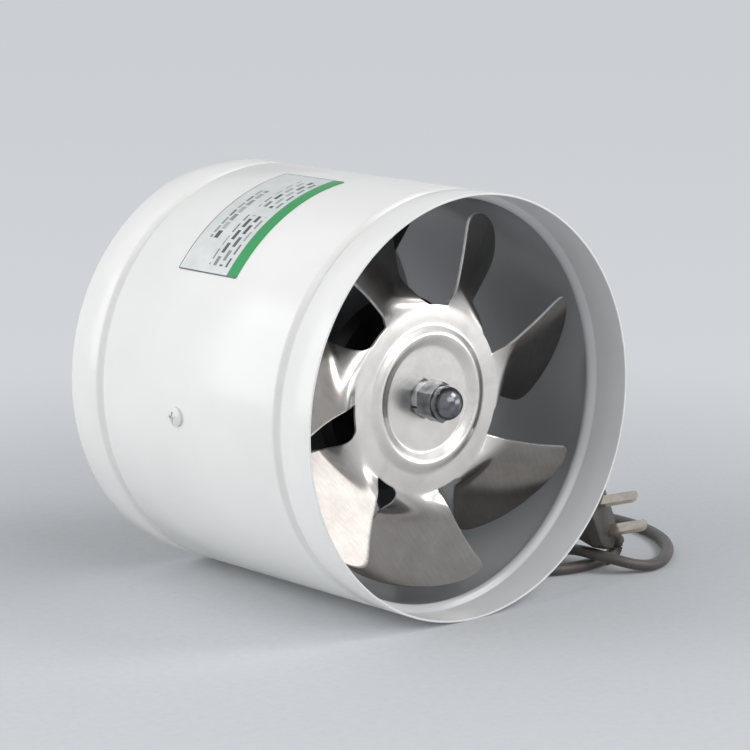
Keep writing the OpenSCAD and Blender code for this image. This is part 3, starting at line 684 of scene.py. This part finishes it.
modify(sheet, "BEVEL", width=BLADE_EDGE, segments=2, limit_method="ANGLE", angle_limit=math.radians(60))
place(sheet, AXIS @ Matrix.Rotation(math.radians(FIRST_BLADE), 4, "Z"))
smooth(sheet, 45)
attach(sheet, "spinner")
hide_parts("impeller")


# Domed cap nut: a hexagon with a turned chamfer, a dome almost as wide as its flats and a blind bore

NUT_FLATS = 13 * MM
NUT_EDGE = 0.18 * MM  # rounding of the hexagon's corners
HEX_LENGTH = 6.8 * MM
CHAMFER_R = 6.7 * MM
CHAMFER_SLOPE = math.radians(30)
DOME_R = 6.3 * MM
DOME_SKIRT = 2 * MM  # how far the dome's skirt runs into the hexagon
BORE_R = 4.05 * MM
BORE_DEPTH = 10.6 * MM
nut_low, nut_high = (Vector(c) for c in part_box("cap_nut"))
nut_back = -nut_high.y
hex_middle = nut_back + HEX_LENGTH / 2
hex_front = nut_back + HEX_LENGTH
dome_middle = -nut_low.y - DOME_R
chamfer_back_r = CHAMFER_R + HEX_LENGTH / math.tan(CHAMFER_SLOPE)

nut = begin("cap_nut_turned", bpy.ops.mesh.primitive_cylinder_add, vertices=6,
            radius=NUT_FLATS / 2 / math.cos(math.radians(30)), depth=HEX_LENGTH, location=(0, 0, hex_middle))
bpy.ops.object.transform_apply(location=True)
edit(nut, "EDGE")
pick(nut, lambda c: abs(c.z - hex_middle) < NEAR, "edges")
bpy.ops.mesh.bevel(offset=NUT_EDGE, segments=2)
chamfer = begin("chamfer", bpy.ops.mesh.primitive_cone_add, vertices=96, radius1=chamfer_back_r,
                radius2=CHAMFER_R, depth=HEX_LENGTH, location=(0, 0, hex_middle))
combine(nut, chamfer, "INTERSECT")

dome = begin("dome", bpy.ops.mesh.primitive_uv_sphere_add, segments=64, ring_count=32, radius=DOME_R,
             location=(0, 0, dome_middle))
bpy.ops.object.transform_apply(location=True)
edit(dome)
pick(dome, lambda c: c.z < dome_middle - NEAR)
bpy.ops.mesh.delete(type="VERT")
bpy.ops.mesh.select_mode(type="EDGE")
bpy.ops.mesh.select_non_manifold()
skirt = hex_front - dome_middle - DOME_SKIRT
bpy.ops.mesh.extrude_edges_move(TRANSFORM_OT_translate={"value": (0, 0, skirt)})
bpy.ops.mesh.edge_face_add()
close_up()
deselect()
combine(nut, dome, "UNION")

bore = begin("bore", bpy.ops.mesh.primitive_cylinder_add, vertices=48, radius=BORE_R, depth=2 * BORE_DEPTH,
             location=(0, 0, nut_back))
combine(nut, bore, "DIFFERENCE")
edit(nut)
close_up(SEAM)
deselect()
place(nut)
smooth(nut, 30)
finish_piece(nut, "spinner", "nut_plate", nickel, "cap_nut")


# Routes of the cord and of the plug's relief, in millimetres from the floor under the casing's middle

LEAD_ANGLE = math.radians(-40)  # where the cord leaves the casing, round its axis
LEAD_Y = 22
GROMMET_OUT = 95  # distance of the grommet's end from the fan axis
CORD_D = 4.4
LYING = 2.3  # height of the middle of a cord that lies on the floor
COIL_X, COIL_Y, COIL_Z = 95, 70, 3.2
COIL_IN = 20
COIL_STEP = 5.6  # growth of the radius in one turn
COIL_RISE = 5.2  # from the lower layer to the upper
COIL_TURNS = 3.5
COIL_POINTS = 24  # in one turn
CLIMB = 0.5  # turns over which the cord climbs to the upper layer
PLUG_AT = Vector((84.6, -46.2, 20))
PLUG_YAW = math.radians(30.5)
PLUG_TILT = math.radians(-13.5)
PLUG_ROLL = math.radians(-19.5)
PLUG_FRAME = (Matrix.Translation(PLUG_AT * MM) @ Matrix.Rotation(PLUG_YAW, 4, "Z")
              @ Matrix.Rotation(PLUG_TILT, 4, "X") @ Matrix.Rotation(PLUG_ROLL, 4, "Y"))
RELIEF_FOOT = Vector((2, 4, -6))  # in the plug's own frame, whose pins lie along -Y


def lead_point(d):
    """Point on the lead's own line at a distance from the fan axis."""
    return (d * math.cos(LEAD_ANGLE), LEAD_Y, CASING_R + d * math.sin(LEAD_ANGLE))


def coil_point(t):
    """Point of the coil after t turns: two layers that spiral in, climb and spiral out."""
    from_middle = t - COIL_TURNS / 2
    r = COIL_IN + COIL_STEP * abs(from_middle)
    climbed = ease(min(1, max(0, (from_middle + CLIMB / 2) / CLIMB)))
    a = 2 * math.pi * t
    return (COIL_X + r * math.cos(a), COIL_Y + r * math.sin(a), COIL_Z + COIL_RISE * climbed)


coil = [coil_point(k / COIL_POINTS) for k in range(round(COIL_POINTS * COIL_TURNS) + 1)]
coil_start = (coil[0][0], coil[0][1] - CORD_D, coil[0][2])
coil_end = (coil[-1][0], coil[-1][1] - CORD_D, coil[-1][2])
lead_route = [
    lead_point(GROMMET_OUT), lead_point(GROMMET_OUT + 6), (82.4, 20.2, 6.8), (87, 14, 4.7), (88.2, 4, 3.3),
    (86, -7, 2.8), (82.4, -17, 3.2), (79.4, -27.5, 4.8), (78.2, -38, 6.9), (79, -47, 6.9), (83, -54, 5.4),
    (89, -58.5, 3.4), (96, -60, LYING), (104, -58, LYING), (112.4, -52.6, LYING), (120.5, -45.3, LYING),
    (127.4, -36.7, LYING), (132.4, -27.5, LYING), (135.5, -19, LYING), (137.5, -7, LYING),
    (137.5, 10, LYING), (136, 25, 2.4), (132.5, 42, 2.6), (127, 56, 3), coil_start,
]
run_route = [
    coil_end, (coil_end[0], coil_end[1] - 8, coil_end[2] - 0.5), (62, 43, 5), (57, 28, 2.6), (53, 12, LYING),
    (50, -4, LYING), (49.5, -18, LYING), (52.5, -30, LYING), (58.5, -38, LYING), (66.5, -42.4, LYING),
    (75, -44.2, LYING), (82, -44, 2.4), (88.5, -43.1, 2.55),
]
relief_route = [
    tuple(PLUG_FRAME @ (RELIEF_FOOT * MM) / MM), (88.5, -42.6, 11.6), (91.8, -42.5, 11), (94.6, -42.4, 9.7),
    (95.9, -42, 6.7), (94.6, -42, 3.8), (91.8, -42.6, 2.7), (89.5, -43, 2.6),
]


def through(points, steps):
    """Smooth line through the points, each span in the given number of steps."""
    p = [Vector(q) for q in points]
    p = [2 * p[0] - p[1], *p, 2 * p[-1] - p[-2]]
    line = []
    for a, b, c, d in zip(p, p[1:], p[2:], p[3:]):
        for k in range(steps):
            s = k / steps
            bend = (2 * a - 5 * b + 4 * c - d) * s * s + (3 * b - a - 3 * c + d) * s ** 3
            line.append(0.5 * (2 * b + (c - a) * s + bend))
    return [*line, p[-2]]


def swept(name, line, outline, sizes=None):
    """Tube with a closed outline drawn along a line, flat side down, as a mesh."""
    profile = bpy.data.objects.new("profile", bpy.data.curves.new("profile", "CURVE"))
    profile.data.dimensions = "2D"
    edge = profile.data.splines.new("POLY")
    edge.points.add(len(outline) - 1)
    for p, (x, y) in zip(edge.points, outline):
        p.co = (x * MM, y * MM, 0, 1)
    edge.use_cyclic_u = True
    scene.collection.objects.link(profile)
    path = bpy.data.objects.new(name, bpy.data.curves.new(name, "CURVE"))
    path.data.dimensions = "3D"
    path.data.twist_mode = "Z_UP"
    path.data.bevel_mode = "OBJECT"
    path.data.bevel_object = profile
    path.data.use_fill_caps = True
    middle = path.data.splines.new("POLY")
    middle.points.add(len(line) - 1)
    for i, (p, q) in enumerate(zip(middle.points, line)):
        p.co = (*(q * MM), 1)
        p.radius = sizes[i] if sizes else 1.0
    scene.collection.objects.link(path)
    focus(path)
    bpy.ops.object.convert(target="MESH")
    piece = bpy.context.object
    piece.name = piece.data.name = name
    bpy.data.objects.remove(profile)
    edit(piece)
    close_up()
    deselect()
    smooth(piece, 50)
    return piece


# Cord: two insulated cores side by side under one sheath, wider than thick, with a shallow waist

CORD_HALF_W = 2.4
CORD_HALF_H = 2.1
CORD_SIDES = 28
CORD_STEPS = 4  # in one span of its route
WAIST_DEPTH = 0.1  # share of the thickness
WAIST_HALF = 0.7


def twin_outline():
    """Outline of the sheath across the cord."""
    ring = []
    for k in range(CORD_SIDES):
        a = 2 * math.pi * k / CORD_SIDES
        x = CORD_HALF_W * math.cos(a)
        waist = 1 - WAIST_DEPTH * math.exp(-(x / WAIST_HALF) ** 2)
        ring.append((x, CORD_HALF_H * math.sin(a) * waist))
    return ring


lead_line = through(lead_route, CORD_STEPS)
run_line = through(run_route, CORD_STEPS)
centre_line = [*lead_line, *(Vector(p) for p in coil), *run_line]
cord = swept("mains_cord", centre_line, twin_outline())


# Plug: an outline of five rounded corners drawn back to a smaller one, and a ribbed relief for the cord

PLUG_SIDES = 48
RELIEF_STEPS = 5  # in one span of its route
RELIEF_R = 3.1
RELIEF_SIDES = 20
RELIEF_TAPER = 0.2  # share of its size that the relief loses along its length
RIB = 0.16  # share that a rib adds
RIB_STEPS = (9, 10, 13, 14, 17, 18)  # steps along the relief that are on a rib


def rounded(corners):
    """Closed outline round the corners (x, z, radius), as evenly turned points."""
    ring = []
    for k in range(PLUG_SIDES):
        a = 2 * math.pi * k / PLUG_SIDES
        d = Vector((math.cos(a), math.sin(a)))
        x, z, r = max(corners, key=lambda c: c[0] * d.x + c[1] * d.y + c[2])
        ring.append(Vector((x, z)) + r * d)
    return ring


face_outline = rounded([(-8, 5.5, 4), (7.3, 5.5, 4), (7.8, -6.5, 3.5), (-8, -3.5, 4), (0, -10.5, 3)])
back_outline = rounded([(-4, 4, 3), (4, 4, 3), (4, -4, 3), (-4, -2, 3)])
# Outlines of the plug from its face to its back, each with its depth and its share of the full size
LEVELS = [(face_outline, -0.7, 0.93), (face_outline, -0.1, 1.0), (face_outline, 3.2, 1.0),
          (face_outline, 4.2, 0.97), (back_outline, 9.2, 1.06), (back_outline, 10.6, 0.98),
          (back_outline, 11, 0.86)]

plug = begin("plug_moulding", bpy.ops.mesh.primitive_circle_add, vertices=PLUG_SIDES, radius=10 * MM,
             fill_type="NGON")
mesh = edit(plug, "FACE")
step = mesh.verts.layers.int.new("step")
for v in mesh.verts:
    v[step] = round(math.atan2(v.co.y, v.co.x) / (2 * math.pi) * PLUG_SIDES) % PLUG_SIDES
bmesh.update_edit_mesh(plug.data)
bpy.ops.mesh.select_all(action="SELECT")
for level, (outline, depth, share) in enumerate(LEVELS):
    if level:
        bpy.ops.mesh.extrude_region_move()
    mesh = bmesh.from_edit_mesh(plug.data)
    step = mesh.verts.layers.int["step"]
    middle = sum(outline, Vector((0, 0))) / len(outline)
    for v in mesh.verts:
        if v.select:
            q = middle + (outline[v[step]] - middle) * share
            v.co = Vector((q.x, depth, q.y)) * MM
    bmesh.update_edit_mesh(plug.data)
close_up()
deselect()
place(plug, PLUG_FRAME)
smooth(plug, 40)

relief_ring = []
for k in range(RELIEF_SIDES):
    a = 2 * math.pi * k / RELIEF_SIDES
    relief_ring.append((RELIEF_R * math.cos(a), RELIEF_R * math.sin(a)))
relief_line = through(relief_route, RELIEF_STEPS)
relief_sizes = []
for i in range(len(relief_line)):
    taper = 1 - RELIEF_TAPER * i / (len(relief_line) - 1)
    relief_sizes.append(taper + (RIB if i in RIB_STEPS else 0))
plug = join(plug, swept("plug_relief", relief_line, relief_ring, relief_sizes))


# Tie: a flat band round the coil

TIE_WALL = 0.8 * MM
TIE_EDGE = 0.3 * MM

tie_low, tie_high = (Vector(c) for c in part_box("cord_tie"))
tie = begin("cord_tie_band", bpy.ops.mesh.primitive_cube_add, size=1.0)
mesh = edit(tie, "FACE")
for v in mesh.verts:
    v.co = Vector([tie_low[i] if v.co[i] < 0 else tie_high[i] for i in range(3)])
bmesh.update_edit_mesh(tie.data)
pick(tie, lambda c: min(abs(c.x - tie_low.x), abs(c.x - tie_high.x)) < NEAR, "faces")
bpy.ops.mesh.inset(thickness=TIE_WALL)
bpy.ops.mesh.bridge_edge_loops()
close_up()
deselect()
modify(tie, "BEVEL", width=TIE_EDGE, segments=3, limit_method="ANGLE")
smooth(tie)

finish_piece(cord, "fan_body", "cord_pvc", flex, "cord_lead", "cord_coil", "cord_run")
finish_piece(plug, "fan_body", "cord_pvc", plug_pvc, "plug_body")
finish_piece(tie, "fan_body", "tie_plastic", tie_nylon, "cord_tie")


# Floor, backdrop and lamps

UNDER_FAN = (30 * MM, 20 * MM, 0)
SHADOW_R = 100 * MM  # the floor shows nearly all of its shadow within this distance
EVEN_R = 450 * MM  # and is nearly even from here on


def sees_background(tree):
    """1 for the camera's rays and for those that show the background in metal, 0 for the light it throws."""
    path = add(tree, "LightPath")
    shiny = add(tree, "Math", {0: path.outputs["Is Glossy Ray"], 1: path.outputs["Is Transmission Ray"]},
                operation="MAXIMUM")
    seen = add(tree, "Math", {0: path.outputs["Is Camera Ray"], 1: shiny.outputs[0]}, operation="MAXIMUM")
    return seen.outputs[0]


def paper_floor():
    """Pale matt paper: soft shadows under the fan, and an even grey further out."""
    material, tree, point = fresh("pale paper floor")
    fibre = add(tree, "TexNoise", {"Vector": point, "Scale": per(3), "Detail": 3.0})
    tint = add(tree, "ValToRGB", {"Fac": fibre.outputs["Fac"]},
               [(0.3, linear("#cfd2d6")), (0.7, linear("#d5d8db"))])
    lit = add(tree, "BsdfPrincipled", {"Base Color": tint.outputs["Color"], "Roughness": 0.8})
    away = add(tree, "VectorMath", {0: point, 1: UNDER_FAN}, operation="DISTANCE")
    spread = add(tree, "MapRange", {"Value": away.outputs["Value"], "From Min": SHADOW_R, "From Max": EVEN_R,
                                    "To Min": 0.05, "To Max": 0.85}, interpolation_type="SMOOTHSTEP")
    share = add(tree, "Math", {0: sees_background(tree), 1: spread.outputs["Result"]}, operation="MULTIPLY")
    even = add(tree, "Emission", {"Color": linear("#d6d9dd"), "Strength": 1.0})
    surface = add(tree, "MixShader", {0: share.outputs[0], 1: lit.outputs[0], 2: even.outputs[0]})
    add(tree, "OutputMaterial", {"Surface": surface.outputs[0]})
    return material


floor = begin("floor", bpy.ops.mesh.primitive_plane_add, size=12)
floor.data.materials.append(paper_floor())

studio = bpy.data.worlds.new("studio")
scene.world = studio
studio.use_nodes = True
studio_tree = studio.node_tree
studio_tree.nodes.clear()
# The dim background lights the fan, and the pale one is what the camera and the metal see
dim = add(studio_tree, "Background", {"Color": linear("#e3e5e8"), "Strength": 0.22})
pale = add(studio_tree, "Background", {"Color": linear("#d3d6da"), "Strength": 1.0})
backdrop = add(studio_tree, "MixShader", {0: sees_background(studio_tree), 1: dim.outputs[0],
                                          2: pale.outputs[0]})
add(studio_tree, "OutputWorld", {"Surface": backdrop.outputs[0]})


def lamp(name, at, aim, width, height, power):
    """White softbox that faces the point it is aimed at."""
    data = bpy.data.lights.new(name, "AREA")
    data.shape = "RECTANGLE"
    data.size = width
    data.size_y = height
    data.energy = power
    softbox = bpy.data.objects.new(name, data)
    scene.collection.objects.link(softbox)
    softbox.location = at
    softbox.rotation_euler = (Vector(aim) - Vector(at)).to_track_quat("-Z", "Y").to_euler()


CASING_MIDDLE = (0, 0, 70 * MM)
FAN_FRONT = (0, -50 * MM, 50 * MM)
lamp("side softbox", (-1.3, 0.4, 0.5), CASING_MIDDLE, 1.5, 1.2, 12.6)
lamp("overhead softbox", (-0.55, 0.45, 1.2), CASING_MIDDLE, 1.5, 1.5, 5.0)
lamp("front softbox", (-0.05, -1.2, 0.78), CASING_MIDDLE, 1.0, 0.6, 4.4)
lamp("high right softbox", (0.62, -0.75, 1.05), FAN_FRONT, 0.6, 0.5, 5.4)
lamp("low right softbox", (0.9, -0.98, 0.23), CASING_MIDDLE, 0.9, 0.4, 2.2)

scene.view_settings.view_transform = "Standard"
